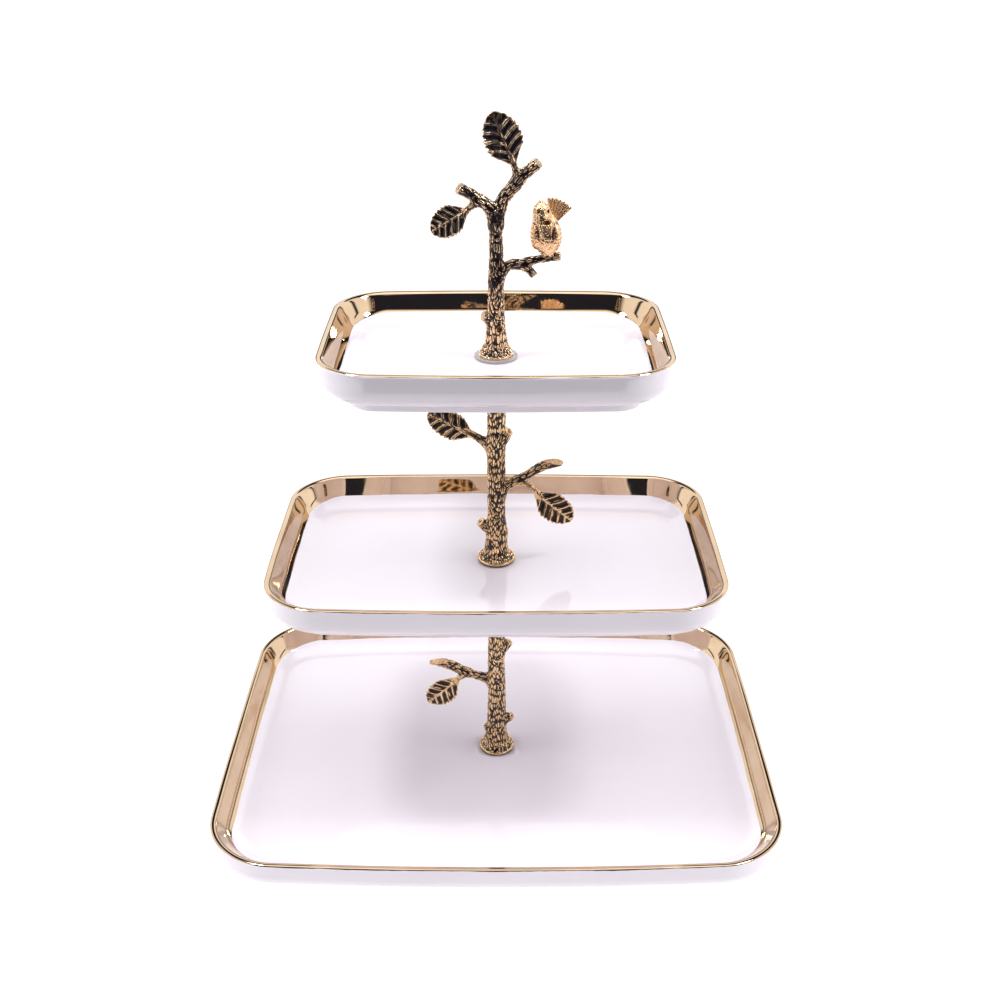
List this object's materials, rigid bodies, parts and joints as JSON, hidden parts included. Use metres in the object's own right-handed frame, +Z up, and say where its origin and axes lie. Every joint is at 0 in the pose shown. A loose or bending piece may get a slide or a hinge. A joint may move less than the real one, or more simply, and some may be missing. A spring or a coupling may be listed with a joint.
{
  "type": "tiered serving stand",
  "caption": "Tiered stand of rounded rectangular porcelain trays with gilt inner rims, threaded on cast branch-shaped posts with leaves and a perched bird.",
  "frame": {"origin": "on the table, under the middle of the bottom tray", "axes": "+Z up along the posts, +X along the trays' long side towards the bird, -Y towards the person the stand faces"},
  "size_m": [0.3548, 0.2648, 0.4328],
  "materials": {
    "porcelain": "glossy white glaze with a gold lustre band inside the rim and a gold line on the lip",
    "antique_gold": "gold plate over a cast bark texture with black patina left in the recesses",
    "bright_gold": "polished yellow gold plate",
    "zinc_steel": "bright zinc plate",
    "rubber": "matt black",
    "clear_plastic": "clear soft vinyl"
  },
  "bodies": {
    "base": {"tray_bottom": "porcelain", "base_screw": "zinc_steel", "base_steel_washer": "zinc_steel", "base_rubber_washer": "rubber"},
    "lower_washer": {"lower_post_washer": "clear_plastic"},
    "lower_post_body": {"lower_post": "antique_gold", "lower_stud": "zinc_steel", "middle_tray_gasket": "rubber"},
    "middle_tray_body": {"tray_middle": "porcelain"},
    "middle_washer": {"middle_post_washer": "clear_plastic"},
    "middle_post_body": {"middle_post": "antique_gold", "middle_stud": "zinc_steel", "top_tray_gasket": "rubber"},
    "top_tray_body": {"tray_top": "porcelain"},
    "top_washer": {"finial_washer": "clear_plastic"},
    "finial_body": {"finial_branch": "antique_gold", "bird": "bright_gold"}
  },
  "joints": [
    {"name": "lower_post_rise", "type": "slide", "parent": "base", "child": "lower_washer", "axis": [0, 0, 1], "range_m": [0, 0.007]},
    {"name": "lower_post_unscrew", "type": "hinge", "parent": "lower_washer", "child": "lower_post_body", "pos_m": [0, 0, 0.0126], "axis": [0, 0, 1], "range_deg": [0, 2520]},
    {"name": "middle_tray_turn", "type": "hinge", "parent": "lower_post_body", "child": "middle_tray_body", "pos_m": [0, 0, 0.1559], "axis": [0, 0, 1], "continuous": true},
    {"name": "middle_post_rise", "type": "slide", "parent": "lower_post_body", "child": "middle_washer", "axis": [0, 0, 1], "range_m": [0, 0.007]},
    {"name": "middle_post_unscrew", "type": "hinge", "parent": "middle_washer", "child": "middle_post_body", "pos_m": [0, 0, 0.1621], "axis": [0, 0, 1], "range_deg": [0, 2520]},
    {"name": "top_tray_turn", "type": "hinge", "parent": "middle_post_body", "child": "top_tray_body", "pos_m": [0, 0, 0.2915], "axis": [0, 0, 1], "continuous": true},
    {"name": "finial_rise", "type": "slide", "parent": "middle_post_body", "child": "top_washer", "axis": [0, 0, 1], "range_m": [0, 0.007]},
    {"name": "finial_unscrew", "type": "hinge", "parent": "top_washer", "child": "finial_body", "pos_m": [0, 0, 0.298], "axis": [0, 0, 1], "range_deg": [0, 2520]}
  ],
  "couplings": [
    {"joint": "lower_post_unscrew", "follows": "lower_post_rise", "rad_per_m": 6283.2},
    {"joint": "middle_post_unscrew", "follows": "middle_post_rise", "rad_per_m": 6283.2},
    {"joint": "finial_unscrew", "follows": "finial_rise", "rad_per_m": 6283.2}
  ]
}
